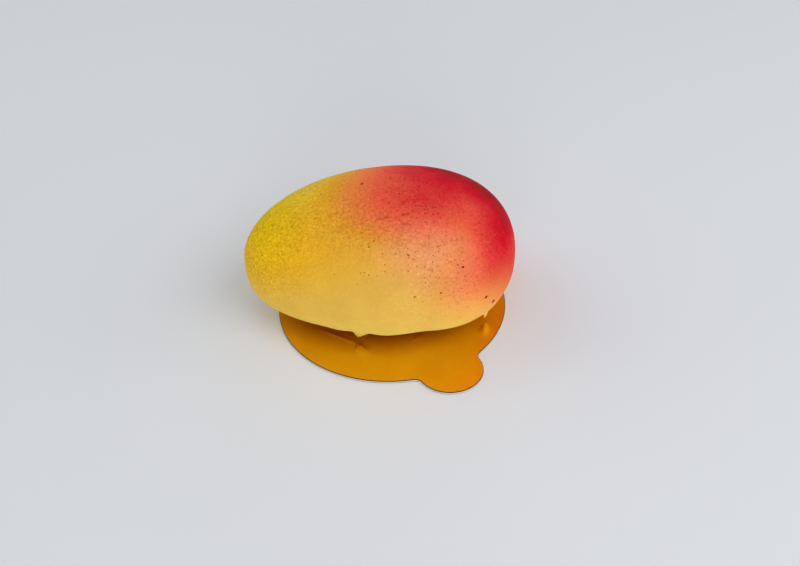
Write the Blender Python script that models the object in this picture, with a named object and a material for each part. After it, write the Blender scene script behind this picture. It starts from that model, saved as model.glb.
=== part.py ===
"""Mousse cake in the shape of a mango, on its round gold cake card with a pull tab.

Metres, +Z up. The origin is the centre of the card's underside, and the mango's long side lies along X,
narrow end at -X and broad end at +X. The mousse is one closed solid: a ball shaped by a few sizes, cut flat
where it rests on the card, with the drips of its coating joined to the underside.
"""

import math

import bmesh
import bpy
from mathutils import Matrix, Vector

PART_COLLECTION = "mango_mousse_cake"
DRIP_COLLECTION = "coating_drips"
MM = 0.001

# The card is a disc with a round tab, and a fillet on each side where the two meet.
CARD_RADIUS = 0.0400
CARD_THICKNESS = 0.0010
TAB_RADIUS = 0.0112
TAB_REACH = 0.0400
TAB_DIRECTION = math.radians(-61.9)
TAB_FILLET_RADIUS = 0.0030
DISC_ARC_STEPS = 120
TAB_ARC_STEPS = 36
FILLET_ARC_STEPS = 6

# The mango's widest level divides it into a low crown above and a fuller belly below.
MANGO_LENGTH = 0.0938
MANGO_WIDTH = 0.0620
CROWN_HEIGHT = 0.0262
BELLY_DEPTH = 0.0222
CROWN_POWER = 2.1
BELLY_POWER = 3.0
PLAN_POWER = 2.1
END_TAPER = 0.26
SIDE_SWAY = 0.00063
TURN_ON_CARD = math.radians(4.7)
CENTRE_X = -0.0034
CENTRE_Y = 0.0032
REST_GAP = 0.0003
BALL_SUBDIVISIONS = 5
BASE_SNAP = 0.0004

CARD_TOP = CARD_THICKNESS
MOUSSE_BASE = CARD_TOP + REST_GAP
WIDEST_LEVEL = CARD_TOP + BELLY_DEPTH

# Drips hang from the underside to a point.
# Each row is root x and y, tip x and y, tip height over the card, half length along the rim, half width.
# All are in millimetres.
DRIPS = {
    "front_left": (-10.0, -20.5, -12.0, -19.2, 2.0, 4.0, 1.5),
    "front_left_inner": (-17.6, -14.6, -19.8, -12.6, 1.8, 1.6, 1.1),
    "front_inner": (8.6, -15.4, 7.4, -14.4, 1.8, 1.4, 1.0),
    "front_right": (33.2, -10.6, 32.5, -11.3, 1.2, 1.7, 1.3),
    "back_right": (25.0, 22.0, 25.6, 21.2, 2.4, 2.2, 1.4),
    "back_left": (-20.0, 20.4, -19.2, 19.6, 2.1, 1.9, 1.3),
}
# Swells are the coating's soft high and low places, as place, radius and height in millimetres.
SWELLS = {
    "front_lip": (-3.0, -22.6, 6.5, 5.0, 0.65),
    "front_dip": (10.5, -23.7, 7.3, 5.0, -0.6),
    "right_lip": (24.8, -20.6, 8.6, 5.0, 0.45),
    "left_lip": (-18.0, -19.2, 6.6, 4.0, 0.35),
    "back_lip": (4.0, 31.0, 9.0, 7.0, 0.5),
    "back_dip": (-16.0, 25.0, 9.0, 6.0, -0.5),
}
ROOT_SINK = 0.0012
DRIP_SEGMENTS = 14
DRIP_RINGS = 8
DRIP_POINT = 0.72

COATING_COLOUR = (0.76, 0.36, 0.06, 1.0)
GOLD_COLOUR = (0.72, 0.34, 0.03, 1.0)


def clear_scene():
    """Remove every object and empty collection, so that the script can be run again."""
    for thing in list(bpy.data.objects):
        bpy.data.objects.remove(thing, do_unlink=True)
    for group in list(bpy.data.collections):
        bpy.data.collections.remove(group)


def new_collection(name):
    """Add a collection to the scene and return it."""
    group = bpy.data.collections.new(name)
    bpy.context.scene.collection.children.link(group)
    return group


def surface_material(name, colour, roughness, metallic):
    """Return a Principled material."""
    material = bpy.data.materials.new(name)
    material.use_nodes = True
    shader = material.node_tree.nodes["Principled BSDF"]
    shader.inputs["Base Color"].default_value = colour
    shader.inputs["Roughness"].default_value = roughness
    shader.inputs["Metallic"].default_value = metallic
    return material


def arc_points(centre, radius, start, sweep, steps):
    """Return the points of an arc, without its last one."""
    points = []
    for step in range(steps):
        angle = start + sweep * step / steps
        points.append(centre + radius * Vector((math.cos(angle), math.sin(angle))))
    return points


def heading(vector):
    """Return the angle of a flat vector from +X."""
    return math.atan2(vector.y, vector.x)


def card_outline():
    """Return the card's outline, anticlockwise: disc, fillet, tab, fillet."""
    disc = Vector((0.0, 0.0))
    tab = TAB_REACH * Vector((math.cos(TAB_DIRECTION), math.sin(TAB_DIRECTION)))
    disc_reach = CARD_RADIUS + TAB_FILLET_RADIUS
    tab_reach = TAB_RADIUS + TAB_FILLET_RADIUS
    cosine = (TAB_REACH**2 + disc_reach**2 - tab_reach**2) / (2.0 * TAB_REACH * disc_reach)
    half_angle = math.acos(cosine)
    after_tab = TAB_DIRECTION + half_angle
    before_tab = TAB_DIRECTION - half_angle
    fillet_after = disc_reach * Vector((math.cos(after_tab), math.sin(after_tab)))
    fillet_before = disc_reach * Vector((math.cos(before_tab), math.sin(before_tab)))

    disc_sweep = 2.0 * math.pi - 2.0 * half_angle
    tab_start = heading(fillet_before - tab)
    tab_sweep = (heading(fillet_after - tab) - tab_start) % (2.0 * math.pi)
    fillet_sweep = (heading(disc - fillet_before) - heading(tab - fillet_before)) % (2.0 * math.pi)

    outline = arc_points(disc, CARD_RADIUS, after_tab, disc_sweep, DISC_ARC_STEPS)
    outline += arc_points(
        fillet_before, TAB_FILLET_RADIUS, heading(-fillet_before), -fillet_sweep, FILLET_ARC_STEPS
    )
    outline += arc_points(tab, TAB_RADIUS, tab_start, tab_sweep, TAB_ARC_STEPS)
    outline += arc_points(
        fillet_after, TAB_FILLET_RADIUS, heading(tab - fillet_after), -fillet_sweep, FILLET_ARC_STEPS
    )
    return outline


def make_card(group, material):
    """Make the card as a flat filled outline with its thickness."""
    curve = bpy.data.curves.new("gold_card", "CURVE")
    curve.dimensions = "2D"
    curve.fill_mode = "BOTH"
    curve.extrude = CARD_THICKNESS / 2.0
    outline = card_outline()
    spline = curve.splines.new("POLY")
    spline.points.add(len(outline) - 1)
    for point, place in zip(spline.points, outline):
        point.co = (place.x, place.y, 0.0, 1.0)
    spline.use_cyclic_u = True
    card = bpy.data.objects.new("gold_card", curve)
    card.location.z = CARD_THICKNESS / 2.0
    curve.materials.append(material)
    group.objects.link(card)


def to_plan(x, y):
    """Turn a place along and across the mango into a place over the card."""
    place = Matrix.Rotation(TURN_ON_CARD, 2) @ Vector((x, y))
    return place.x + CENTRE_X, place.y + CENTRE_Y


def from_plan(x, y):
    """Turn a place over the card into a place along and across the mango."""
    place = Matrix.Rotation(-TURN_ON_CARD, 2) @ Vector((x - CENTRE_X, y - CENTRE_Y))
    return place.x, place.y


def shape_ball_point(direction):
    """Return the place on the mango's surface of a direction from the ball's centre."""
    power = CROWN_POWER if direction.z > 0.0 else BELLY_POWER
    flat = (abs(direction.x) ** PLAN_POWER + abs(direction.y) ** PLAN_POWER) ** (1.0 / PLAN_POWER)
    size = (flat**power + abs(direction.z) ** power) ** (1.0 / power)
    along, across, up = direction / size
    x = along * MANGO_LENGTH / 2.0
    y = across * (1.0 + END_TAPER * along) * MANGO_WIDTH / 2.0
    y -= SIDE_SWAY * math.sin(math.pi * along)
    x, y = to_plan(x, y)
    z = WIDEST_LEVEL + up * (CROWN_HEIGHT if up > 0.0 else BELLY_DEPTH)
    return swollen(Vector((x, y, z)))


def swollen(place):
    """Return a surface place pushed out, or drawn in, by the swells round it."""
    push = 0.0
    for x, y, z, radius, height in SWELLS.values():
        distance = (place - MM * Vector((x, y, z))).length / (radius * MM)
        push += height * MM * math.exp(-(distance**2))
    middle = Vector((CENTRE_X, CENTRE_Y, WIDEST_LEVEL))
    return place + push * (place - middle).normalized()


def underside_height(x, y):
    """Return the height of the belly's underside over a place on the card."""
    along, across = from_plan(x, y)
    along /= MANGO_LENGTH / 2.0
    across += SIDE_SWAY * math.sin(math.pi * along)
    across /= (1.0 + END_TAPER * along) * MANGO_WIDTH / 2.0
    flat = (abs(along) ** PLAN_POWER + abs(across) ** PLAN_POWER) ** (1.0 / PLAN_POWER)
    depth = (1.0 - min(flat, 1.0) ** BELLY_POWER) ** (1.0 / BELLY_POWER)
    return WIDEST_LEVEL - depth * BELLY_DEPTH


def rim_direction(x, y):
    """Return the flat unit vector that runs along the mango's rim at a place."""
    along, across = from_plan(x, y)
    tangent = Vector((-across * MANGO_LENGTH / MANGO_WIDTH, along * MANGO_WIDTH / MANGO_LENGTH))
    return (Matrix.Rotation(TURN_ON_CARD, 2) @ tangent).normalized()


def add_object(name, shape, group):
    """Give a finished bmesh an object of its own in a collection."""
    mesh = bpy.data.meshes.new(name)
    shape.to_mesh(mesh)
    shape.free()
    thing = bpy.data.objects.new(name, mesh)
    group.objects.link(thing)
    return thing


def make_body(group):
    """Make the mango from a ball and cut it flat where it rests."""
    shape = bmesh.new()
    bmesh.ops.create_icosphere(shape, subdivisions=BALL_SUBDIVISIONS, radius=1.0)
    for vertex in shape.verts:
        vertex.co = shape_ball_point(vertex.co.normalized())
    bmesh.ops.bisect_plane(
        shape,
        geom=shape.verts[:] + shape.edges[:] + shape.faces[:],
        dist=BASE_SNAP,
        plane_co=(0.0, 0.0, MOUSSE_BASE),
        plane_no=(0.0, 0.0, -1.0),
        use_snap_center=True,
        clear_outer=True,
    )
    rim = [edge for edge in shape.edges if edge.is_boundary]
    bmesh.ops.contextual_create(shape, geom=rim)
    bmesh.ops.recalc_face_normals(shape, faces=shape.faces[:])
    return add_object("mango_mousse", shape, group)


def make_drip(name, root, tip, half_length, half_width, group):
    """Make a drop-shaped drip from its root down to its tip."""
    shape = bmesh.new()
    bmesh.ops.create_uvsphere(shape, u_segments=DRIP_SEGMENTS, v_segments=DRIP_RINGS, radius=1.0)
    lengthwise = rim_direction(root.x, root.y)
    crosswise = Vector((-lengthwise.y, lengthwise.x))
    for vertex in shape.verts:
        down = (1.0 - vertex.co.z) / 2.0
        narrowing = 1.0 - DRIP_POINT * down
        flat = lengthwise * vertex.co.x * half_length + crosswise * vertex.co.y * half_width
        vertex.co = root.lerp(tip, down) + narrowing * flat.to_3d()
    bmesh.ops.recalc_face_normals(shape, faces=shape.faces[:])
    return add_object(name, shape, group)


def make_drips(group):
    """Make every drip of the coating, each with its root inside the mango."""
    for name, (x, y, tip_x, tip_y, tip_height, half_length, half_width) in DRIPS.items():
        root_height = underside_height(x * MM, y * MM) + ROOT_SINK
        root = Vector((x * MM, y * MM, root_height))
        tip = Vector((tip_x * MM, tip_y * MM, CARD_TOP + tip_height * MM))
        make_drip("drip_" + name, root, tip, half_length * MM, half_width * MM, group)


def join_drips(body, drips):
    """Join the drips to the body for good, then remove them."""
    union = body.modifiers.new("join drips", "BOOLEAN")
    union.operation = "UNION"
    union.solver = "EXACT"
    union.operand_type = "COLLECTION"
    union.collection = drips
    bpy.context.view_layer.update()
    evaluated = body.evaluated_get(bpy.context.evaluated_depsgraph_get())
    joined = bpy.data.meshes.new_from_object(evaluated)
    body.modifiers.remove(union)
    body.data = joined
    for drip in list(drips.objects):
        bpy.data.objects.remove(drip, do_unlink=True)
    bpy.data.collections.remove(drips)


def make_mousse(group, material):
    """Make the mango with the coating's drips as one closed solid."""
    body = make_body(group)
    drips = new_collection(DRIP_COLLECTION)
    make_drips(drips)
    join_drips(body, drips)
    body.data.materials.clear()
    body.data.materials.append(material)
    body.data.shade_smooth()
    body.data.set_sharp_from_angle(angle=math.radians(50.0))


def main():
    clear_scene()
    group = new_collection(PART_COLLECTION)
    make_card(group, surface_material("gold foil board", GOLD_COLOUR, 0.3, 1.0))
    make_mousse(group, surface_material("sprayed cocoa butter", COATING_COLOUR, 0.7, 0.0))


main()
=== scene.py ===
"""Looks of a mango-shaped mousse cake with a sprayed velvet coating, on its round gold cake card.

Run it in Blender 4.5 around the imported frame. Metres, +Z up, with the origin at the centre of the card's
underside. The mango's narrow end is at -X, and the card's pull tab points to -Y and +X.
"""

import math
import random

import bpy
import numpy as np
from mathutils import Matrix, Vector, noise


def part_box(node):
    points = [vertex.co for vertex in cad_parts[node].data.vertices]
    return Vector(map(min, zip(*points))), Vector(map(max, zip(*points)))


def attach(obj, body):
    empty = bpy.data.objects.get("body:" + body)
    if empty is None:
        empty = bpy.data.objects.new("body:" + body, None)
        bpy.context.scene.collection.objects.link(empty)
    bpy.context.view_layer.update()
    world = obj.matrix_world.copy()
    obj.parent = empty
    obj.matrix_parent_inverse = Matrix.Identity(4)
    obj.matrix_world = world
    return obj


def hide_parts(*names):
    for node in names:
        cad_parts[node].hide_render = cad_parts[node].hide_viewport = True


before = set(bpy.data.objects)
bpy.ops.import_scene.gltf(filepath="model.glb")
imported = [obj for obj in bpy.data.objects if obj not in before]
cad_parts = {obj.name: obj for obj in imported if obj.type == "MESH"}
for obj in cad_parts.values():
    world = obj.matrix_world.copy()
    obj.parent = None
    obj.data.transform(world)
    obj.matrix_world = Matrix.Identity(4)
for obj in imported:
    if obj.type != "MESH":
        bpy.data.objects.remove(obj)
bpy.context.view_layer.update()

bl_info = {
    "name": "Mango Mousse Cake",
    "version": (1, 0, 0),
    "blender": (4, 5, 0),
    "location": "View3D > Sidebar > Mango Cake",
    "description": "Models a velvet-sprayed mango mousse cake on its gold card",
    "category": "Add Mesh",
}

MM = 0.001
BODY = "root"

CARD_LOW, CARD_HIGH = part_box("gold_card")
MANGO_LOW, MANGO_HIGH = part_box("mango_mousse")
CARD_TOP = CARD_HIGH.z

# The picture's frame, and where the middle of the card's top lies in it
PICTURE_WIDTH = 800
PICTURE_HEIGHT = 566
CARD_CENTRE_PIXEL = (392.0, 303.3)
CAMERA_DEPTH = 0.5312
CAMERA_ELEVATION = math.radians(39.7)
CAMERA_ROLL = math.radians(-2.3)
SENSOR_WIDTH = 36.0
FOCAL_LENGTH = 67.5

# Each soft light is its azimuth from the camera's side and its elevation, in degrees, its power in watts
# and its width in metres.
LIGHTS = {
    "window": (45.0, 48.0, 4.4, 0.9),
    "side_window": (90.0, 25.0, 2.1, 0.85),
    "front_fill": (0.0, 12.0, 4.2, 0.65),
    "back_window": (-115.0, 42.0, 1.9, 0.8),
    "end_fill": (-90.0, 18.0, 0.4, 0.4),
    "back_fill": (168.0, 18.0, 0.7, 0.5),
    "overhead": (0.0, 90.0, 0.6, 0.5),
}
LIGHT_DISTANCE = 1.2
SKY_STRENGTH = 0.34
FLOOR_SIZE = 6.0

# Drips hang from the underside to a point.
# Each row is root x and y, tip x and y, tip height over the card, half length along the rim, half width.
# All are in millimetres.
DRIPS = {
    "front_left": (-10.0, -20.5, -12.0, -19.2, 1.8, 4.0, 1.2),
    "front_left_inner": (-17.6, -14.6, -19.8, -12.6, 1.8, 1.6, 1.1),
    "front_inner": (8.6, -15.4, 7.4, -14.4, 1.8, 1.4, 1.0),
    "front_right": (32.9, -9.7, 32.1, -11.1, 0.4, 3.2, 1.3),
    "back_right": (25.0, 22.0, 25.6, 21.2, 2.4, 2.2, 1.4),
    "back_left": (-20.0, 20.4, -19.2, 19.6, 2.1, 1.9, 1.3),
}
# Swells are the coating's soft high and low places, as place, radius and height in millimetres.
SWELLS = {
    "front_lip": (-3.0, -22.6, 6.5, 5.0, 0.65),
    "front_dip": (10.5, -23.7, 7.3, 5.0, -0.6),
    "right_lip": (24.8, -20.6, 8.6, 5.0, 0.45),
    "left_lip": (-18.0, -19.2, 6.6, 4.0, 0.35),
    "far_lip": (32.0, -16.0, 11.0, 5.0, 0.5),
    "back_lip": (4.0, 31.0, 9.0, 7.0, 0.5),
    "back_dip": (-16.0, 25.0, 9.0, 6.0, -0.5),
}
# How deep a drip's root lies inside the mango, and how much narrower the drip is at its tip
ROOT_SINK = 1.2 * MM
DRIP_POINT = 0.72

# Faces of the ball that the mango is shaped from, and round and along a drip and a bead
BALL_CUTS = 63
DRIP_SEGMENTS = 20
DRIP_RINGS = 12
BEAD_SEGMENTS = 10
BEAD_RINGS = 6
# How the remeshed coating is smoothed
SMOOTHING = 0.5
SMOOTHING_PASSES = 6
# How square the mango is, from the side above and below its widest level and from above: 2 is an ellipse
CROWN_POWER = 2.1
BELLY_POWER = 3.0
PLAN_POWER = 2.1

# The spray gun's passes of red over the yellow, each a soft ball of mist.
# Each row is its middle and its reach each way, in millimetres, and how many thin layers it lays down.
RED_PASSES = {
    "crimson_shoulder": ((20, 20, 29), (47, 29, 26), 7.0),
    "red_crown": ((49, 5, 57), (93, 60, 23), 5.2),
    "broad_end": ((58, -1, 37), (48, 26, 11), 2.75),
    "front_blush": ((66, -22, 23), (61, 54, 37), 5.15),
    "orange_veil": ((-13, -8, 35), (106, 22, 23), 0.55),
}
# How the coating looks under more and more layers of red
LAYER_TINTS = ((0.0, "gold"), (0.4, "orange"), (0.9, "coral"), (1.5, "scarlet"), (2.3, "red"),
               (3.2, "crimson"), (4.4, "deep_crimson"))
# Passes of other tints, as middle, reach, how much they cover, and the colour's name
TINT_PASSES = {
    "lemon_tip": ((-48, 0, 38), (56, 46, 26), 1.0, "lemon"),
    # Painted sheen: a paler tint low on the front, standing in for light reflected off the floor
    "front_sheen": ((9, -31, 13), (71, 40, 24), 1.0, "cream_sheen"),
    # Partly paler spray and partly painted sheen, on the lit side between the coral and the red
    "coral_bloom_and_sheen": ((13, -21, 40), (24, 14, 34), 0.62, "pink_and_sheen"),
    # Partly the bare yellow where no red reaches, and partly painted bounce light: the underside is made
    # brighter for the foil to mirror
    "bare_belly_bounce_light": ((6, -6, 0), (66, 42, 20), 1.0, "belly"),
    # Painted shade: a darker orange round the mango's foot, where it meets the card
    "base": ((-3, 0, 0), (60, 39, 9), 1.8, "base"),
}

# Where the spray landed as separate droplets, as middle and reach in millimetres, and how strongly
DROPLET_ZONES = {
    "narrow_end": ((-46, -6, 34), (34, 36, 26), 1.0),
    "left_crown": ((-8, -6, 48), (50, 38, 20), 0.85),
    "coral_side": ((22, -24, 32), (34, 26, 24), 0.35),
    "broad_end": ((34, 0, 34), (50, 44, 36), 0.3),
    "red_edge": ((4, -9, 47), (26, 14, 12), 0.5),
}
# How strong the droplets are outside these zones
EVEN_DROPLETS = 0.08
# Large and small droplets, as share of the height and of the spacing
DROPLET_SORTS = ((0.5, 1.0), (0.5, 0.62))
# Half a spacing from its middle, a droplet's side has fallen by its whole height
DROPLET_FALL = 1.0 / 0.5**2

# Where the coating is thin enough for pores, as middle and reach in millimetres, and how strongly
PORES = ((14, -20, 34), (52, 30, 34), 1.0)

# Creases where the coating froze thick, and raised folds, with a depth below zero, where it ran.
# Each is azimuth and elevation round the mango's middle, length, width and depth in millimetres, and slant
# in degrees.
CREASES = {
    "high": (-57.0, 72.5, 2.6, 0.9, 0.3, 12.0),
    "middle_left": (-84.5, 64.7, 2.6, 1.0, 0.36, -12.0),
    "middle_right": (-66.0, 65.0, 3.6, 0.9, 0.3, -8.0),
    "low": (-72.0, 58.5, 2.8, 1.0, 0.36, -24.0),
    "lump_left": (-84.5, 62.6, 2.0, 1.1, -0.2, -6.0),
    "lump_right": (-76.5, 62.0, 2.2, 1.1, -0.2, -4.0),
    "belly_fold": (-117.0, -51.8, 17.0, 0.9, -0.5, 11.0),
    "belly_fold_end": (-106.6, -48.6, 3.4, 1.0, -0.5, 14.0),
    "front_fold": (-72.5, -53.5, 2.6, 0.8, -0.4, -30.0),
}
# How far out of its own plane a crease still reaches
CREASE_REACH = 4.0 * MM

# Pinholes in the coating, each a flat bead in it, dark with the painted shade of the hole.
# Each row is azimuth and elevation round the mango's middle, length and width in millimetres, slant in
# degrees, and darkness.
PINHOLES = {
    "crown": (134.8, 81.9, 1.1, 0.7, -20.0, 0.8),
    "coral": (-54.7, 24.4, 1.0, 0.7, -25.0, 0.9),
    "coral_upper": (-56.6, 26.9, 0.7, 0.5, -25.0, 0.4),
    "front": (-68.3, 10.2, 0.9, 0.6, 10.0, 0.55),
    "front_low": (-79.4, 8.8, 0.8, 0.6, 0.0, 0.25),
    "end_upper": (-46.1, -7.3, 1.3, 1.1, 35.0, 0.85),
    "end_lower": (-40.5, -18.1, 1.5, 1.25, 28.0, 0.95),
    "end_rim": (-31.0, 14.9, 0.9, 0.6, 0.0, 0.6),
    "middle": (-78.4, 38.6, 0.9, 0.6, -30.0, 0.4),
    "left_low": (-98.3, 43.8, 0.7, 0.5, 0.0, 0.3),
    "left_high": (-95.6, 48.1, 0.6, 0.5, 0.0, 0.25),
}

# How the gun's strokes vary the layers of red, as their swing and what they leave at least
STROKE_SWING = 0.7
STROKE_LEAST = 0.65
# How many layers of red count as thin, and how many more a crease and a droplet hold
THIN_RED = 0.6
CREASE_RED = 0.4
DROPLET_RED = 0.7
# How thick droplets are, as swing and least
THICKNESS_SWING = 1.4
THICKNESS_LEAST = 0.3
# Painted highlight and shade on the droplets: how much brighter a droplet's top is than its foot, and how
# dark the foot is
TOP_LIGHT = 0.1
FOOT_SHADE = -0.09
# Painted shade in the creases
CREASE_SHADE = -0.18
# Powers of the shade, painted pit and crease shade among it, by which thin places stay warm
RED_POWER = 0.7
OTHER_POWER = 1.25

# How deep the brown line under the foil's cut edge reaches down the board, partly burr and partly painted
# shade, and how thick the grey painted contact shadow along the board's foot is
BURR_DEPTH = 0.4 * MM
FOOT_SHADOW_DEPTH = 0.3 * MM
# How much of its own depth each of the two takes to fade into the pale board
EDGE_FADE = 0.3
# Card vertices closer than this are one, and card faces that bend less than this are one
CARD_WELD = 0.001 * MM
CARD_FLAT = math.radians(1.0)
# A face that points up more steeply than this is the foil
FOIL_UP = 0.999
ROUNDING_SEGMENTS = 3

SPECK_SEED = 11
# Specks show where the red is at least this many layers thick, and no thicker than this
SPECK_LAYERS = (0.06, 1.9)
# The least and the most of a speck's length in millimetres, its width as a share of that, and its darkness
SPECK_LENGTH = (0.3, 0.6)
SPECK_SLIMNESS = (0.6, 0.9)
SPECK_DARKNESS = (-0.15, 0.08)
# Fine specks lie round three places on the mango.
# Each row is how many, azimuth and elevation round the mango's middle, and spread each way in degrees.
SPECK_SWARMS = {
    "coral_side": (120, -66.0, 27.0, 20.0, 14.0),
    "crown": (24, -76.0, 64.0, 34.0, 9.0),
    "far_side": (60, 105.0, 20.0, 40.0, 26.0),
}


def linear(code):
    """Turn an sRGB hex colour into linear RGBA."""
    values = [int(code[place:place + 2], 16) / 255.0 for place in (0, 2, 4)]
    return [v / 12.92 if v <= 0.04045 else ((v + 0.055) / 1.055) ** 2.4 for v in values] + [1.0]


def add_node(tree, kind, inputs=None, output=None, **settings):
    """Add a shader node, set its properties and inputs, and return the named output or the first."""
    made = tree.nodes.new(kind)
    for name, value in settings.items():
        setattr(made, name, value)
    for key, value in (inputs or {}).items():
        if isinstance(value, bpy.types.NodeSocket):
            tree.links.new(value, made.inputs[key])
        else:
            made.inputs[key].default_value = value
    if output:
        return made.outputs[output]
    return next(socket for socket in made.outputs if socket.enabled)


def start_material(name):
    """Return a new material, its node tree and its Principled shader."""
    material = bpy.data.materials.new(name)
    material.use_nodes = True
    tree = material.node_tree
    return material, tree, tree.nodes["Principled BSDF"]


def deselect():
    """Leave nothing selected, in object mode."""
    if bpy.context.object and bpy.context.object.mode != "OBJECT":
        bpy.ops.object.mode_set(mode="OBJECT")
    bpy.ops.object.select_all(action="DESELECT")


def pick(thing):
    """Select one object alone and make it active."""
    deselect()
    thing.select_set(True)
    bpy.context.view_layer.objects.active = thing


def join(things):
    """Join objects into the first one."""
    pick(things[0])
    for thing in things:
        thing.select_set(True)
    bpy.ops.object.join()
    return things[0]


def places(thing):
    """Return an object's vertex places as an array."""
    flat = np.empty(len(thing.data.vertices) * 3)
    thing.data.vertices.foreach_get("co", flat)
    return flat.reshape(-1, 3)


def move_to(thing, points):
    """Put an object's vertices at new places."""
    thing.data.vertices.foreach_set("co", np.ascontiguousarray(points, dtype=np.float32).ravel())
    thing.data.update()


def normals(thing):
    """Return an object's vertex normals as an array."""
    flat = np.empty(len(thing.data.vertices) * 3)
    thing.data.vertices.foreach_get("normal", flat)
    return flat.reshape(-1, 3)


def apply(thing, kind, **settings):
    """Add a modifier with its settings and apply it."""
    pick(thing)
    modifier = thing.modifiers.new(kind.title(), kind)
    for name, value in settings.items():
        setattr(modifier, name, value)
    bpy.ops.object.modifier_apply(modifier=modifier.name)


def keep_value(thing, name, values):
    """Keep one number for each vertex as an attribute that materials can read."""
    attribute = thing.data.attributes.new(name, "FLOAT", "POINT")
    attribute.data.foreach_set("value", np.ascontiguousarray(values, dtype=np.float32))


def to_plan(sizes, x, y):
    """Turn places along and across the mango into places over the card."""
    cosine, sine = math.cos(sizes.turn), math.sin(sizes.turn)
    return x * cosine - y * sine + sizes.centre[0], x * sine + y * cosine + sizes.centre[1]


def mango_surface(sizes, ball):
    """Move points of a ball round the origin to the mango's surface."""
    direction = ball / np.linalg.norm(ball, axis=1, keepdims=True)
    power = np.where(direction[:, 2] > 0.0, CROWN_POWER, BELLY_POWER)
    flat = np.abs(direction[:, 0]) ** PLAN_POWER + np.abs(direction[:, 1]) ** PLAN_POWER
    flat = flat ** (1.0 / PLAN_POWER)
    size = (flat**power + np.abs(direction[:, 2]) ** power) ** (1.0 / power)
    along, across, up = (direction / size[:, None]).T
    x = along * sizes.length / 2.0
    y = across * (1.0 + sizes.taper * along) * sizes.width / 2.0 - sizes.sway * np.sin(math.pi * along)
    x, y = to_plan(sizes, x, y)
    widest = CARD_TOP + sizes.belly
    z = np.where(up > 0.0, widest + up * sizes.crown, widest + up * sizes.belly)
    surface = swollen(sizes, np.stack([x, y, z], axis=1))
    surface[:, 2] = np.maximum(surface[:, 2], MANGO_LOW.z)
    return surface


def swollen(sizes, surface):
    """Return surface places pushed out, or drawn in, by the swells round them."""
    push = np.zeros((len(surface), 1))
    for x, y, z, radius, height in SWELLS.values():
        distance = np.linalg.norm(surface - MM * np.array((x, y, z)), axis=1, keepdims=True)
        push += height * MM * np.exp(-((distance / (radius * MM)) ** 2))
    outward = surface - np.array((sizes.centre[0], sizes.centre[1], CARD_TOP + sizes.belly))
    return surface + push * outward / np.linalg.norm(outward, axis=1, keepdims=True)


def underside_height(sizes, x, y):
    """Return the height of the belly's underside over a place on the card."""
    cosine, sine = math.cos(sizes.turn), math.sin(sizes.turn)
    x, y = x - sizes.centre[0], y - sizes.centre[1]
    along, across = x * cosine + y * sine, y * cosine - x * sine
    along /= sizes.length / 2.0
    across += sizes.sway * math.sin(math.pi * along)
    across /= (1.0 + sizes.taper * along) * sizes.width / 2.0
    flat = (abs(along) ** PLAN_POWER + abs(across) ** PLAN_POWER) ** (1.0 / PLAN_POWER)
    depth = (1.0 - min(flat, 1.0) ** BELLY_POWER) ** (1.0 / BELLY_POWER)
    return CARD_TOP + sizes.belly * (1.0 - depth)


def seat(sizes, azimuth, elevation, slant):
    """Return a place on the mango, and its length-wise, cross-wise and outward directions.

    Azimuth and elevation, in degrees, are the direction from the ball's middle, before it takes the
    mango's form. A slant of 0 points the length level along the surface.
    """
    azimuth, elevation = math.radians(azimuth), math.radians(elevation)
    step = math.radians(0.5)
    balls = [
        (math.cos(up) * math.cos(around), math.cos(up) * math.sin(around), math.sin(up))
        for around, up in ((azimuth, elevation), (azimuth + step, elevation), (azimuth, elevation + step))
    ]
    place, beside, above = (Vector(point) for point in mango_surface(sizes, np.array(balls)))
    outward = (beside - place).cross(above - place).normalized()
    level = Vector((0.0, 0.0, 1.0)).cross(outward)
    level.normalize()
    lengthwise = Matrix.Rotation(math.radians(slant), 3, outward) @ level
    return place, lengthwise, outward.cross(lengthwise), outward


def mist(points, middle, reach):
    """Return how strongly a soft ball of mist reaches each point, from 0 to 1."""
    near = 1.0 - np.linalg.norm((points / MM - np.array(middle)) / np.array(reach), axis=1)
    near = np.clip(near, 0.0, 1.0)
    return near * near * (3.0 - 2.0 * near)


def add_drip(sizes, root, tip, half_length, half_width):
    """Add a drop-shaped drip from its root down to its tip."""
    deselect()
    bpy.ops.mesh.primitive_uv_sphere_add(segments=DRIP_SEGMENTS, ring_count=DRIP_RINGS, radius=1.0)
    drip = bpy.context.object
    around = math.atan2(root.y - sizes.centre[1], root.x - sizes.centre[0])
    lengthwise = np.array([-math.sin(around) * sizes.length, math.cos(around) * sizes.width])
    lengthwise /= np.linalg.norm(lengthwise)
    crosswise = np.array([-lengthwise[1], lengthwise[0]])
    ball = places(drip)
    down = (1.0 - ball[:, 2:]) / 2.0
    flat = ball[:, :1] * half_length * lengthwise + ball[:, 1:2] * half_width * crosswise
    line = np.array(root) + (np.array(tip) - np.array(root)) * down
    line[:, :2] += flat * (1.0 - DRIP_POINT * down)
    move_to(drip, line)
    return drip


def add_drips(sizes):
    """Add every drip of the coating, each with its root inside the mango."""
    drips = []
    for x, y, tip_x, tip_y, tip_height, half_length, half_width in DRIPS.values():
        root = Vector((x * MM, y * MM, underside_height(sizes, x * MM, y * MM) + ROOT_SINK))
        tip = Vector((tip_x * MM, tip_y * MM, CARD_TOP + tip_height * MM))
        drips.append(add_drip(sizes, root, tip, half_length * MM, half_width * MM))
    return drips


def droplet_pit(place):
    """Return how far a droplet's side has fallen at a place, in droplet heights, from 0 at its top."""
    return DROPLET_FALL * noise.voronoi(place, distance_metric="DISTANCE_SQUARED")[0][0]


def fine_mist(place):
    """Return how deep the fine mist's dips are, from 0 on its bumps to 1."""
    coarse, fine = (noise.noise(place * step, noise_basis="BLENDER") / 2.0 + 0.5 for step in (1.0, 2.0))
    return 1.0 - (2.0 * coarse + fine) / 3.0


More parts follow.
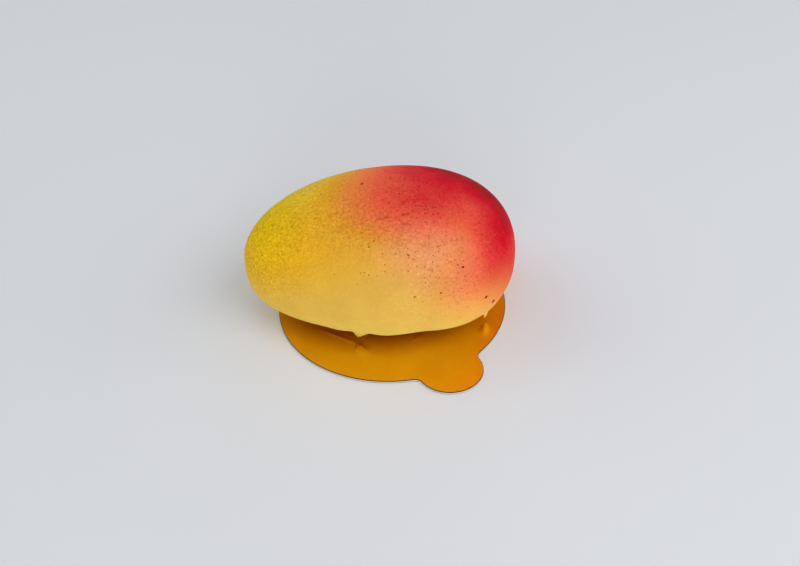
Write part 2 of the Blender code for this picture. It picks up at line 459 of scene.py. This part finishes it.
def sink(thing, form, spacing, depth, amount):
    """Sink each vertex along its normal, by a form's depth at its place and the amount there."""
    points = places(thing)
    depths = np.array([form(Vector(point) / spacing) for point in points]) * amount * depth
    move_to(thing, points - depths[:, None] * normals(thing))


def add_grain(sizes, mango):
    """Sink the coating between the spray's droplets and fine mist, and keep its height for the material.

    Each vertex is worked out here and not by a modifier, so that every run gives the same grain.
    """
    smooth = places(mango)
    outward = normals(mango)
    amount = EVEN_DROPLETS + sum(
        strength * mist(smooth, middle, reach) for middle, reach, strength in DROPLET_ZONES.values()
    )
    amount = np.clip(amount, 0.0, 1.0)
    for share, spread in DROPLET_SORTS:
        sink(mango, droplet_pit, sizes.droplet_spacing * spread, sizes.droplet_height * share, amount)
    sink(mango, fine_mist, sizes.mist_spacing, sizes.mist_height, 1.0)
    height = ((places(mango) - smooth) * outward).sum(axis=1)
    keep_value(mango, "droplet", 1.0 + height / sizes.droplet_height)
    keep_value(mango, "droplet_amount", amount)


def add_creases(sizes, mango):
    """Press the creases into the surface and raise the folds, and keep their depth for the material."""
    points = places(mango)
    pressed = np.zeros(len(points))
    for azimuth, elevation, length, width, depth, slant in CREASES.values():
        place, lengthwise, crosswise, outward = seat(sizes, azimuth, elevation, slant)
        offset = points - np.array(place)
        along = offset @ np.array(lengthwise) / (length * MM / 2.0)
        across = offset @ np.array(crosswise) / (width * MM / 2.0)
        off = offset @ np.array(outward) / CREASE_REACH
        pressed += depth * MM * np.exp(-(along**4) - across**2 - off**4)
    move_to(mango, points - pressed[:, None] * normals(mango))
    keep_value(mango, "crease", pressed / pressed.max())


def red_layers(points):
    """Return how many layers of red lie on each point."""
    return sum(strength * mist(points, middle, reach) for middle, reach, strength in RED_PASSES.values())


def add_bead(sizes, azimuth, elevation, length, width, slant, darkness):
    """Add a flat bead that lies in the coating."""
    deselect()
    bpy.ops.mesh.primitive_uv_sphere_add(segments=BEAD_SEGMENTS, ring_count=BEAD_RINGS, radius=1.0)
    bead = bpy.context.object
    ball = places(bead)
    place, lengthwise, crosswise, outward = seat(sizes, azimuth, elevation, slant)
    spread = (
        ball[:, :1] * length / 2.0 * np.array(lengthwise) + ball[:, 1:2] * width / 2.0 * np.array(crosswise)
        + ball[:, 2:] * sizes.bead_height * np.array(outward)
    )
    move_to(bead, np.array(place) + spread)
    keep_value(bead, "darkness", np.full(len(ball), darkness))
    return bead


def add_specks(sizes):
    """Add the fine red-brown specks round their places, by seeded random draws."""
    draw = random.Random(SPECK_SEED)
    specks = []
    for count, azimuth, elevation, wide, high in SPECK_SWARMS.values():
        wanted = len(specks) + count
        while len(specks) < wanted:
            around, up = draw.gauss(azimuth, wide), draw.gauss(elevation, high)
            length = draw.uniform(*SPECK_LENGTH) * MM
            width = length * draw.uniform(*SPECK_SLIMNESS)
            slant, darkness = draw.uniform(0.0, 180.0), draw.uniform(*SPECK_DARKNESS)
            layers = red_layers(np.array([seat(sizes, around, up, slant)[0]]))[0]
            if SPECK_LAYERS[0] < layers < SPECK_LAYERS[1]:
                specks.append(add_bead(sizes, around, up, length, width, slant, darkness))
    return specks


def add_mist(tree, place, middle, reach, strength):
    """Add a soft ball of mist, as strong as given at its middle and nothing beyond its reach."""
    placed = add_node(
        tree, "ShaderNodeMapping",
        {"Vector": place, "Location": [v * MM for v in middle], "Scale": [v * MM for v in reach]},
        vector_type="TEXTURE",
    )
    ball = add_node(tree, "ShaderNodeTexGradient", {"Vector": placed}, "Fac", gradient_type="SPHERICAL")
    return add_node(
        tree, "ShaderNodeMapRange", {"Value": ball, "To Max": strength}, interpolation_type="SMOOTHSTEP"
    )


def red_mist(tree, place, strokes, bead, crease):
    """Return how many layers of red lie on the coating, unevenly, as a spray gun lays them."""
    layers = 0.0
    for middle, reach, strength in RED_PASSES.values():
        ball = add_mist(tree, place, middle, reach, strength)
        layers = add_node(tree, "ShaderNodeMath", {0: layers, 1: ball}, operation="ADD")
    uneven = add_node(
        tree, "ShaderNodeMath", {0: strokes, 1: STROKE_SWING, 2: STROKE_LEAST}, operation="MULTIPLY_ADD"
    )
    layers = add_node(tree, "ShaderNodeMath", {0: layers, 1: uneven}, operation="MULTIPLY")
    # Single red droplets, 0.8 mm apart, which stand out where the mist is thin
    spatter = add_node(
        tree, "ShaderNodeTexNoise",
        {"Vector": place, "Scale": 1.0 / (0.8 * MM), "Detail": 2.0, "Roughness": 0.6},
    )
    scatter = add_node(
        tree, "ShaderNodeMapRange", {"Value": spatter, "To Min": -1.0, "To Max": 1.0}, clamp=False
    )
    thin = add_node(tree, "ShaderNodeMath", {0: layers, 1: THIN_RED}, operation="MINIMUM")
    layers = add_node(tree, "ShaderNodeMath", {0: scatter, 1: thin, 2: layers}, operation="MULTIPLY_ADD")
    # Beads and creases hold more of it
    layers = add_node(
        tree, "ShaderNodeMath", {0: crease, 1: CREASE_RED, 2: layers}, operation="MULTIPLY_ADD"
    )
    held = add_node(tree, "ShaderNodeMath", {0: bead, 1: thin}, operation="MULTIPLY")
    return add_node(tree, "ShaderNodeMath", {0: held, 1: DROPLET_RED, 2: layers}, operation="MULTIPLY_ADD")


def coating_colour(tree, place, layers, colours):
    """Return the coating's colour under its layers of red and its passes of other tints."""
    deepest = LAYER_TINTS[-1][0]
    depth = add_node(tree, "ShaderNodeMath", {0: layers, 1: deepest}, operation="DIVIDE")
    colour = add_node(tree, "ShaderNodeValToRGB", {"Fac": depth})
    stops = colour.node.color_ramp.elements
    while len(stops) < len(LAYER_TINTS):
        stops.new(1.0)
    for stop, (depth, name) in zip(stops, LAYER_TINTS):
        stop.position = depth / deepest
        stop.color = getattr(colours, name)
    for middle, reach, cover, name in TINT_PASSES.values():
        ball = add_mist(tree, place, middle, reach, cover)
        colour = add_node(
            tree, "ShaderNodeMix", {"Factor": ball, "A": colour, "B": getattr(colours, name)},
            data_type="RGBA",
        )
    return colour


def droplet_beads(tree, place):
    """Return the height of round droplets frozen 1.4 mm apart, each about 0.8 mm across."""
    cells = add_node(
        tree, "ShaderNodeTexVoronoi", {"Vector": place, "Scale": 1.0 / (1.4 * MM), "Randomness": 0.95}
    )
    bead = add_node(
        tree, "ShaderNodeMapRange", {"Value": cells, "From Min": 0.48, "From Max": 0.1},
        interpolation_type="SMOOTHSTEP",
    )
    # Some are thick and some are thin
    chance = add_node(tree, "ShaderNodeSeparateColor", {"Color": cells.node.outputs["Color"]})
    thickness = add_node(
        tree, "ShaderNodeMath", {0: chance, 1: THICKNESS_SWING, 2: THICKNESS_LEAST},
        operation="MULTIPLY_ADD",
    )
    return add_node(tree, "ShaderNodeMath", {0: bead, 1: thickness}, operation="MULTIPLY")


def droplet_shade(tree, place, bead, amount, layers):
    """Return how much brighter, or darker, the droplets make the coating, with painted highlights on them
    and painted shade between them.
    """
    droplet = add_node(tree, "ShaderNodeAttribute", output="Fac", attribute_name="droplet")
    # Droplet tops catch the light, and the pits between them stay dark
    shade = add_node(
        tree, "ShaderNodeMath", {0: droplet, 1: TOP_LIGHT, 2: FOOT_SHADE}, operation="MULTIPLY_ADD"
    )
    # Yellow beads get a painted highlight that makes them brighter than their surroundings, and red ones
    # are a little darker
    bead_highlight = add_node(
        tree, "ShaderNodeMapRange", {"Value": layers, "From Max": 0.7, "To Min": 0.34, "To Max": -0.04}
    )
    shade = add_node(tree, "ShaderNodeMath", {0: bead, 1: bead_highlight, 2: shade}, operation="MULTIPLY_ADD")
    # Uneven thickness of the fat, 0.75 mm from one place to the next
    speckle = add_node(
        tree, "ShaderNodeTexNoise", {"Vector": place, "Scale": 1.0 / (0.75 * MM), "Detail": 1.0}
    )
    grit = add_node(
        tree, "ShaderNodeMapRange", {"Value": speckle, "To Min": -0.42, "To Max": 0.42}, clamp=False
    )
    shade = add_node(tree, "ShaderNodeMath", {0: shade, 1: grit}, operation="ADD")
    # Red hides part of it
    shown = add_node(
        tree, "ShaderNodeMapRange",
        {"Value": layers, "From Min": 0.5, "From Max": 1.8, "To Min": 1.0, "To Max": 0.6},
    )
    shown = add_node(tree, "ShaderNodeMath", {0: shown, 1: amount}, operation="MULTIPLY")
    return add_node(tree, "ShaderNodeMath", {0: shade, 1: shown}, operation="MULTIPLY")


def add_pores(tree, place, layers, colour, colours):
    """Return the colour with red-brown pores, about 0.7 mm across, where a red mist lies on it."""
    cells = add_node(
        tree, "ShaderNodeTexVoronoi", {"Vector": place, "Scale": 1.0 / (1.5 * MM), "Randomness": 1.0}
    )
    pore = add_node(
        tree, "ShaderNodeMapRange", {"Value": cells, "From Min": 0.36, "From Max": 0.12},
        interpolation_type="SMOOTHSTEP",
    )
    chance = add_node(tree, "ShaderNodeSeparateColor", {"Color": cells.node.outputs["Color"]})
    depth = add_node(tree, "ShaderNodeMath", {0: pore, 1: chance}, operation="MULTIPLY")
    thin = add_node(
        tree, "ShaderNodeMapRange", {"Value": layers, "From Min": 0.2, "From Max": 0.8},
    )
    depth = add_node(tree, "ShaderNodeMath", {0: depth, 1: thin}, operation="MULTIPLY")
    cover = add_node(
        tree, "ShaderNodeMath", {0: depth, 1: add_mist(tree, place, *PORES)}, operation="MULTIPLY"
    )
    return add_node(
        tree, "ShaderNodeMix", {"Factor": cover, "A": colour, "B": colours.speck}, data_type="RGBA"
    )


def velvet_material(colours):
    """Cocoa butter sprayed on frozen mousse: the fat freezes as it lands, so the skin is matt and grainy.

    The eye sees fine droplets, brighter on their tops with painted highlights and with painted shade
    between them, in yellow that a red mist covers bit by bit.
    """
    material, tree, shader = start_material("sprayed cocoa butter velvet")
    place = add_node(tree, "ShaderNodeTexCoord", output="Object")
    amount = add_node(tree, "ShaderNodeAttribute", output="Fac", attribute_name="droplet_amount")
    crease = add_node(tree, "ShaderNodeAttribute", output="Fac", attribute_name="crease")
    crease = add_node(tree, "ShaderNodeMath", {0: crease, 1: 0.0}, operation="MAXIMUM")
    bead = droplet_beads(tree, place)
    relief = add_node(tree, "ShaderNodeMath", {0: bead, 1: amount}, operation="MULTIPLY")

    # Uneven strokes of the gun, about 9 mm wide, with patches down to 1 mm in them
    strokes = add_node(
        tree, "ShaderNodeTexNoise",
        {"Vector": place, "Scale": 1.0 / (9.0 * MM), "Detail": 3.0, "Roughness": 0.65},
    )

    layers = red_mist(tree, place, strokes, relief, crease)
    colour = coating_colour(tree, place, layers, colours)
    colour = add_pores(tree, place, layers, colour, colours)
    shade = droplet_shade(tree, place, bead, amount, layers)
    # Creases are darkened with painted shade
    shade = add_node(
        tree, "ShaderNodeMath", {0: crease, 1: CREASE_SHADE, 2: shade}, operation="MULTIPLY_ADD"
    )
    patch = add_node(tree, "ShaderNodeMapRange", {"Value": strokes, "To Min": 0.88, "To Max": 1.12})
    shade = add_node(tree, "ShaderNodeMath", {0: shade, 1: patch}, operation="ADD")
    # Thin places are warmer as well as darker, because red keeps more of its strength; so are the pits and
    # creases darkened by painted shade
    red = add_node(tree, "ShaderNodeMath", {0: shade, 1: RED_POWER}, operation="POWER")
    rest = add_node(tree, "ShaderNodeMath", {0: shade, 1: OTHER_POWER}, operation="POWER")
    tone = add_node(tree, "ShaderNodeCombineXYZ", {"X": red, "Y": rest, "Z": rest})
    colour = add_node(tree, "ShaderNodeVectorMath", {0: colour, 1: tone}, operation="MULTIPLY")
    tree.links.new(colour, shader.inputs["Base Color"])

    # Frozen fat, 0.35 mm grains, over the droplets
    grain = add_node(
        tree, "ShaderNodeTexNoise", {"Vector": place, "Scale": 1.0 / (0.35 * MM), "Detail": 1.0}
    )
    grain = add_node(tree, "ShaderNodeMath", {0: grain, 1: 0.35}, operation="MULTIPLY")
    # Droplets stand out less under red
    rise = add_node(tree, "ShaderNodeMapRange", {"Value": layers, "To Min": 2.2, "To Max": 1.0})
    height = add_node(tree, "ShaderNodeMath", {0: relief, 1: rise, 2: grain}, operation="MULTIPLY_ADD")
    bump = add_node(tree, "ShaderNodeBump", {"Height": height, "Strength": 1.0, "Distance": 0.05 * MM})
    tree.links.new(bump, shader.inputs["Normal"])
    shader.inputs["Roughness"].default_value = 0.7
    shader.inputs["Specular IOR Level"].default_value = 0.1
    shader.inputs["Diffuse Roughness"].default_value = 1.0
    return material


def speck_material(colours):
    """Specks of cocoa solids caught in the coating: dull red-brown, and dark with painted shade at the
    pinholes.
    """
    material, tree, shader = start_material("caught cocoa solids")
    place = add_node(tree, "ShaderNodeTexCoord", output="Object")
    darkness = add_node(tree, "ShaderNodeAttribute", output="Fac", attribute_name="darkness")
    # Crumbs 0.3 mm across
    crumb = add_node(tree, "ShaderNodeTexNoise", {"Vector": place, "Scale": 1.0 / (0.3 * MM)})
    uneven = add_node(tree, "ShaderNodeMapRange", {"Value": crumb, "To Min": -0.15, "To Max": 0.15})
    shade = add_node(tree, "ShaderNodeMath", {0: darkness, 1: uneven}, operation="ADD")
    colour = add_node(
        tree, "ShaderNodeMix", {"Factor": shade, "A": colours.speck, "B": colours.pinhole_shade}, data_type="RGBA"
    )
    tree.links.new(colour, shader.inputs["Base Color"])
    shader.inputs["Roughness"].default_value = 0.9
    shader.inputs["Specular IOR Level"].default_value = 0.05
    return material


def foil_material(colours):
    """Gold foil laminated on board: a satin mirror with a slight waviness and a few hair scratches."""
    material, tree, shader = start_material("gold foil laminate")
    place = add_node(tree, "ShaderNodeTexCoord", output="Object")
    # The foil lies a little uneven on the board's fibres, about 6 mm from crest to crest
    waves = add_node(
        tree, "ShaderNodeTexNoise", {"Vector": place, "Scale": 1.0 / (6.0 * MM), "Detail": 2.0}
    )
    # Hair scratches from handling, about 0.25 mm wide and 10 mm long
    stretched = add_node(
        tree, "ShaderNodeMapping",
        {"Vector": place, "Rotation": (0.0, 0.0, math.radians(-12.0)), "Scale": (0.03, 1.0, 1.0)},
    )
    hairs = add_node(
        tree, "ShaderNodeTexNoise", {"Vector": stretched, "Scale": 1.0 / (0.6 * MM), "Detail": 1.0}
    )
    scratch = add_node(tree, "ShaderNodeMapRange", {"Value": hairs, "From Min": 0.66, "From Max": 0.74})
    relief = add_node(tree, "ShaderNodeMath", {0: scratch, 1: -0.05, 2: waves}, operation="MULTIPLY_ADD")
    bump = add_node(tree, "ShaderNodeBump", {"Height": relief, "Strength": 0.3, "Distance": 0.03 * MM})
    tree.links.new(bump, shader.inputs["Normal"])
    # Patches that rubbed duller, about 14 mm wide
    smear = add_node(
        tree, "ShaderNodeTexNoise", {"Vector": place, "Scale": 1.0 / (14.0 * MM), "Detail": 3.0}
    )
    roughness = add_node(tree, "ShaderNodeMapRange", {"Value": smear, "To Min": 0.1, "To Max": 0.17})
    tree.links.new(roughness, shader.inputs["Roughness"])
    tone = add_node(
        tree, "ShaderNodeMix", {"Factor": smear, "A": colours.foil, "B": colours.foil_shade},
        data_type="RGBA",
    )
    tree.links.new(tone, shader.inputs["Base Color"])
    shader.inputs["Metallic"].default_value = 1.0
    return material


def board_material(colours):
    """Bleached board cut by a die: pale fibres, a brown line under the foil that is partly burr and partly
    painted shade, and a grey painted contact shadow along its foot and underside.
    """
    material, tree, shader = start_material("die-cut cake board")
    place = add_node(tree, "ShaderNodeTexCoord", output="Object")
    # Fibres 0.5 mm apart
    fibres = add_node(
        tree, "ShaderNodeTexNoise", {"Vector": place, "Scale": 1.0 / (0.5 * MM), "Detail": 3.0}
    )
    paper = add_node(
        tree, "ShaderNodeMix", {"Factor": fibres, "A": colours.board, "B": colours.board_shade},
        data_type="RGBA",
    )
    height = add_node(tree, "ShaderNodeSeparateXYZ", {"Vector": place}, "Z")
    # Grey painted contact shadow along the board's foot, darker towards the bottom
    foot_shadow_top = CARD_LOW.z + FOOT_SHADOW_DEPTH
    foot_shadow = add_node(
        tree, "ShaderNodeMapRange",
        {"Value": height, "From Min": foot_shadow_top, "From Max": foot_shadow_top - EDGE_FADE * FOOT_SHADOW_DEPTH},
    )
    colour = add_node(
        tree, "ShaderNodeMix", {"Factor": foot_shadow, "A": paper, "B": colours.foot_shadow}, data_type="RGBA"
    )
    # The brown line under the foil is partly the burr and partly painted shade
    burr_foot = CARD_TOP - BURR_DEPTH
    burr_and_shade = add_node(
        tree, "ShaderNodeMapRange",
        {"Value": height, "From Min": burr_foot, "From Max": burr_foot + EDGE_FADE * BURR_DEPTH},
    )
    colour = add_node(
        tree, "ShaderNodeMix", {"Factor": burr_and_shade, "A": colour, "B": colours.burr_and_shade}, data_type="RGBA"
    )
    tree.links.new(colour, shader.inputs["Base Color"])
    bump = add_node(tree, "ShaderNodeBump", {"Height": fibres, "Strength": 0.4, "Distance": 0.05 * MM})
    tree.links.new(bump, shader.inputs["Normal"])
    shader.inputs["Roughness"].default_value = 0.9
    return material


def colour_setting(name, description, code):
    """Return a colour setting with an sRGB hex default."""
    return bpy.props.FloatVectorProperty(
        name=name, description=description, subtype="COLOR", size=4, min=0.0, max=1.0, default=linear(code)
    )


def length_setting(name, description, millimetres):
    """Return a length setting with a default in millimetres."""
    return bpy.props.FloatProperty(
        name=name, description=description, default=millimetres * MM, unit="LENGTH", precision=5
    )


class MangoSizes(bpy.types.PropertyGroup):
    """Sizes of the mango-shaped mousse and its coating's grain."""

    length: length_setting("Length", "Length of the mango", 93.8)
    width: length_setting("Width", "Width halfway along", 62.0)
    crown: length_setting("Crown", "Height above the widest level", 26.2)
    belly: length_setting("Belly", "Depth below the widest level", 22.2)
    taper: bpy.props.FloatProperty(
        name="Taper", description="How much wider the broad end is", default=0.26, subtype="FACTOR"
    )
    sway: length_setting("Sway", "Sideways bend of the ends", 0.63)
    turn: bpy.props.FloatProperty(
        name="Turn", description="Turn of the mango on its card", default=math.radians(4.7), subtype="ANGLE"
    )
    centre: bpy.props.FloatVectorProperty(
        name="Centre", description="Place of the mango over the card", size=2,
        default=(-3.4 * MM, 3.2 * MM), unit="LENGTH"
    )
    mesh_grain: length_setting("Mesh grain", "Edge of a face of the coating", 0.48)
    droplet_spacing: length_setting("Droplet spacing", "Distance between spray droplets", 1.3)
    droplet_height: length_setting("Droplet height", "Fall of a droplet's side half a spacing out", 0.06)
    mist_spacing: length_setting("Mist spacing", "Distance between the mist's fine bumps", 0.8)
    mist_height: length_setting("Mist height", "Most depth between the mist's fine bumps", 0.03)
    bead_height: length_setting("Bead height", "How proud specks and pinholes stand", 0.07)


class CoatingColours(bpy.types.PropertyGroup):
    """Colours of the sprayed coating, from bare yellow to the deepest red."""

    gold: colour_setting("Gold", "Coating before any red", "edc750")
    orange: colour_setting("Orange", "Coating under a thin red mist", "f2aa32")
    coral: colour_setting("Coral", "Coating under one layer of red", "f9894c")
    scarlet: colour_setting("Scarlet", "Coating under a layer and a half", "f96948")
    red: colour_setting("Red", "Coating under two layers", "e83a38")
    crimson: colour_setting("Crimson", "Coating under three layers", "dc0525")
    deep_crimson: colour_setting("Deep crimson", "Coating under the most layers", "a8040b")
    lemon: colour_setting("Lemon", "Pure yellow spray at the narrow end", "f8d903")
    # Painted sheen, low on the front of the coating
    cream_sheen: colour_setting("Cream", "Paler bloom low on the front", "f6cd60")
    # Partly paler spray and partly painted sheen
    pink_and_sheen: colour_setting("Pink", "Bloom between the coral and the red", "ffa787")
    speck: colour_setting("Speck", "Fine specks in the coating", "d8703c")
    # Partly the bare yellow under the belly, and partly painted bounce light from below
    belly: colour_setting("Belly", "Coating under the belly, where no red reaches", "fff57c")
    # Painted shade round the mango's foot, where it meets the card
    base: colour_setting("Base", "Thin coating round the foot", "c98430")
    # Painted shade: the dark of a pinhole, laid on a bead that stands proud
    pinhole_shade: colour_setting("Pinhole", "Bottom of a pinhole", "6e2806")


class CardSizes(bpy.types.PropertyGroup):
    """Sizes and colours of the gold card."""

    rim: length_setting("Rim", "Width of the rounded upper edge", 0.15)
    foot: length_setting("Foot", "Width of the rounded lower edge", 0.35)
    foil: colour_setting("Foil", "Gold foil", "fdd836")
    foil_shade: colour_setting("Foil shade", "Gold foil where it is dull", "f6ca2c")
    # Partly the burr of the cut edge and partly painted shade
    burr_and_shade: colour_setting("Burr", "Brown line under the foil's cut edge", "2e1a0c")
    board: colour_setting("Board", "Cut edge", "f6efe4")
    board_shade: colour_setting("Board shade", "Board between its fibres", "ded5c8")
    # Painted contact shadow along the card's foot and on its underside
    foot_shadow: colour_setting("Backing", "Grey backing ply and underside", "6f675f")


class CAKE_OT_mango(bpy.types.Operator):
    """Shape the mousse from a ball, hang its drips and raise its coating's grain"""

    bl_idname = "cake.mango"
    bl_label = "Mango Mousse"

    def execute(self, context):
        sizes = context.scene.mango_sizes
        deselect()
        bpy.ops.mesh.primitive_cube_add(size=2.0)
        mango = context.object
        mango.name = "mango_velvet"
        bpy.ops.object.mode_set(mode="EDIT")
        bpy.ops.mesh.subdivide(number_cuts=BALL_CUTS)
        bpy.ops.transform.tosphere(value=1.0)
        bpy.ops.object.mode_set(mode="OBJECT")
        move_to(mango, mango_surface(sizes, places(mango)))
        join([mango] + add_drips(sizes))
        apply(mango, "REMESH", mode="VOXEL", voxel_size=sizes.mesh_grain)
        apply(mango, "SMOOTH", factor=SMOOTHING, iterations=SMOOTHING_PASSES)
        add_creases(sizes, mango)
        add_grain(sizes, mango)
        mango.data.shade_smooth()
        mango.data.materials.clear()
        mango.data.materials.append(velvet_material(context.scene.coating_colours))
        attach(mango, BODY)
        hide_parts("mango_mousse")
        return {"FINISHED"}


class CAKE_OT_specks(bpy.types.Operator):
    """Set the pinholes, dark with painted shade, and the fine red-brown specks in the coating"""

    bl_idname = "cake.specks"
    bl_label = "Coating Specks"

    def execute(self, context):
        sizes = context.scene.mango_sizes
        holes = [
            add_bead(sizes, azimuth, elevation, length * MM, width * MM, slant, darkness)
            for azimuth, elevation, length, width, slant, darkness in PINHOLES.values()
        ]
        specks = join(holes + add_specks(sizes))
        specks.name = "coating_specks"
        specks.data.shade_smooth()
        specks.data.materials.append(speck_material(context.scene.coating_colours))
        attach(specks, BODY)
        return {"FINISHED"}


class CAKE_OT_card(bpy.types.Operator):
    """Round the rim of the gold card and finish its foil face and cut board edge"""

    bl_idname = "cake.card"
    bl_label = "Gold Card"

    def execute(self, context):
        sizes = context.scene.card_sizes
        deselect()
        card = bpy.data.objects.new("foil_card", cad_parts["gold_card"].data.copy())
        context.collection.objects.link(card)
        pick(card)
        bpy.ops.object.mode_set(mode="EDIT")
        bpy.ops.mesh.select_all(action="SELECT")
        bpy.ops.mesh.remove_doubles(threshold=CARD_WELD)
        bpy.ops.mesh.dissolve_limited(angle_limit=CARD_FLAT)
        bpy.ops.mesh.select_all(action="DESELECT")
        bpy.ops.object.mode_set(mode="OBJECT")
        mesh = card.data
        for height, width in ((CARD_TOP, sizes.rim), (CARD_LOW.z, sizes.foot)):
            for edge in mesh.edges:
                ends = [mesh.vertices[end].co.z for end in edge.vertices]
                edge.select = all(abs(end - height) < sizes.rim / 2.0 for end in ends)
            bpy.ops.object.mode_set(mode="EDIT")
            bpy.ops.mesh.select_mode(type="EDGE")
            bpy.ops.mesh.bevel(offset=width, segments=ROUNDING_SEGMENTS)
            bpy.ops.mesh.select_all(action="DESELECT")
            bpy.ops.object.mode_set(mode="OBJECT")
        mesh.materials.clear()
        mesh.materials.append(foil_material(sizes))
        mesh.materials.append(board_material(sizes))
        for face in mesh.polygons:
            face.use_smooth = abs(face.normal.z) < FOIL_UP
            face.material_index = 0 if face.normal.z > FOIL_UP else 1
        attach(card, BODY)
        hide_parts("gold_card")
        return {"FINISHED"}


def camera_place():
    """Return the camera's matrix from its elevation, roll, depth and the card's pixel."""
    back = Vector((0.0, -math.cos(CAMERA_ELEVATION), math.sin(CAMERA_ELEVATION)))
    level = Vector((1.0, 0.0, 0.0))
    upright = back.cross(level)
    right = math.cos(CAMERA_ROLL) * level + math.sin(CAMERA_ROLL) * upright
    up = back.cross(right)
    pixels = PICTURE_WIDTH * FOCAL_LENGTH / SENSOR_WIDTH
    across = (CARD_CENTRE_PIXEL[0] - PICTURE_WIDTH / 2.0) / pixels * CAMERA_DEPTH
    down = (CARD_CENTRE_PIXEL[1] - PICTURE_HEIGHT / 2.0) / pixels * CAMERA_DEPTH
    target = Vector((0.0, 0.0, CARD_TOP))
    place = target - across * right + down * up + CAMERA_DEPTH * back
    matrix = Matrix((right, up, back)).transposed().to_4x4()
    matrix.translation = place
    return matrix


def add_light(name, azimuth, elevation, power, width):
    """Add a large soft light round the cake, facing it; azimuth 0 is the camera's side."""
    flat = math.cos(elevation)
    place = Vector((flat * math.sin(azimuth), -flat * math.cos(azimuth), math.sin(elevation)))
    place *= LIGHT_DISTANCE
    bpy.ops.object.light_add(type="AREA", location=place)
    light = bpy.context.object
    light.name = name
    light.data.size = width
    light.data.energy = power
    aim = Vector((0.0, 0.0, MANGO_HIGH.z / 2.0)) - place
    light.rotation_euler = aim.to_track_quat("-Z", "Y").to_euler()


class CAKE_OT_stage(bpy.types.Operator):
    """Set the floor, the soft light and the camera"""

    bl_idname = "cake.stage"
    bl_label = "Studio Stage"

    def execute(self, context):
        scene = context.scene
        deselect()
        bpy.ops.mesh.primitive_plane_add(size=FLOOR_SIZE)
        floor = context.object
        floor.name = "pale_floor"
        material, _, shader = start_material("matt studio floor")
        shader.inputs["Base Color"].default_value = linear("f2f4f7")
        shader.inputs["Roughness"].default_value = 0.9
        floor.data.materials.append(material)

        world = bpy.data.worlds.new("soft studio light")
        world.use_nodes = True
        world.node_tree.nodes["Background"].inputs["Color"].default_value = linear("f0f3f8")
        world.node_tree.nodes["Background"].inputs["Strength"].default_value = SKY_STRENGTH
        scene.world = world

        for name, (azimuth, elevation, power, width) in LIGHTS.items():
            add_light(name, math.radians(azimuth), math.radians(elevation), power, width)

        bpy.ops.object.camera_add()
        camera = context.object
        camera.data.sensor_width = SENSOR_WIDTH
        camera.data.lens = FOCAL_LENGTH
        camera.matrix_world = camera_place()
        scene.camera = camera
        scene.view_settings.view_transform = "Standard"
        return {"FINISHED"}


class CAKE_PT_panel(bpy.types.Panel):
    """Lists the cake's pieces"""

    bl_idname = "CAKE_PT_panel"
    bl_label = "Mango Mousse Cake"
    bl_space_type = "VIEW_3D"
    bl_region_type = "UI"
    bl_category = "Mango Cake"

    def draw(self, context):
        column = self.layout.column(align=True)
        for operator in OPERATORS:
            column.operator(operator.bl_idname)


OPERATORS = (CAKE_OT_mango, CAKE_OT_specks, CAKE_OT_card, CAKE_OT_stage)
CLASSES = (MangoSizes, CoatingColours, CardSizes) + OPERATORS + (CAKE_PT_panel,)


def register():
    """Register the classes and give the scene its settings."""
    for item in CLASSES:
        bpy.utils.register_class(item)
    bpy.types.Scene.mango_sizes = bpy.props.PointerProperty(type=MangoSizes)
    bpy.types.Scene.coating_colours = bpy.props.PointerProperty(type=CoatingColours)
    bpy.types.Scene.card_sizes = bpy.props.PointerProperty(type=CardSizes)


def unregister():
    """Take the settings and the classes away again."""
    del bpy.types.Scene.card_sizes
    del bpy.types.Scene.coating_colours
    del bpy.types.Scene.mango_sizes
    for item in reversed(CLASSES):
        bpy.utils.unregister_class(item)


def main():
    """Make the cake and its stage."""
    register()
    bpy.ops.cake.mango()
    bpy.ops.cake.specks()
    bpy.ops.cake.card()
    bpy.ops.cake.stage()


if __name__ == "__main__":
    main()
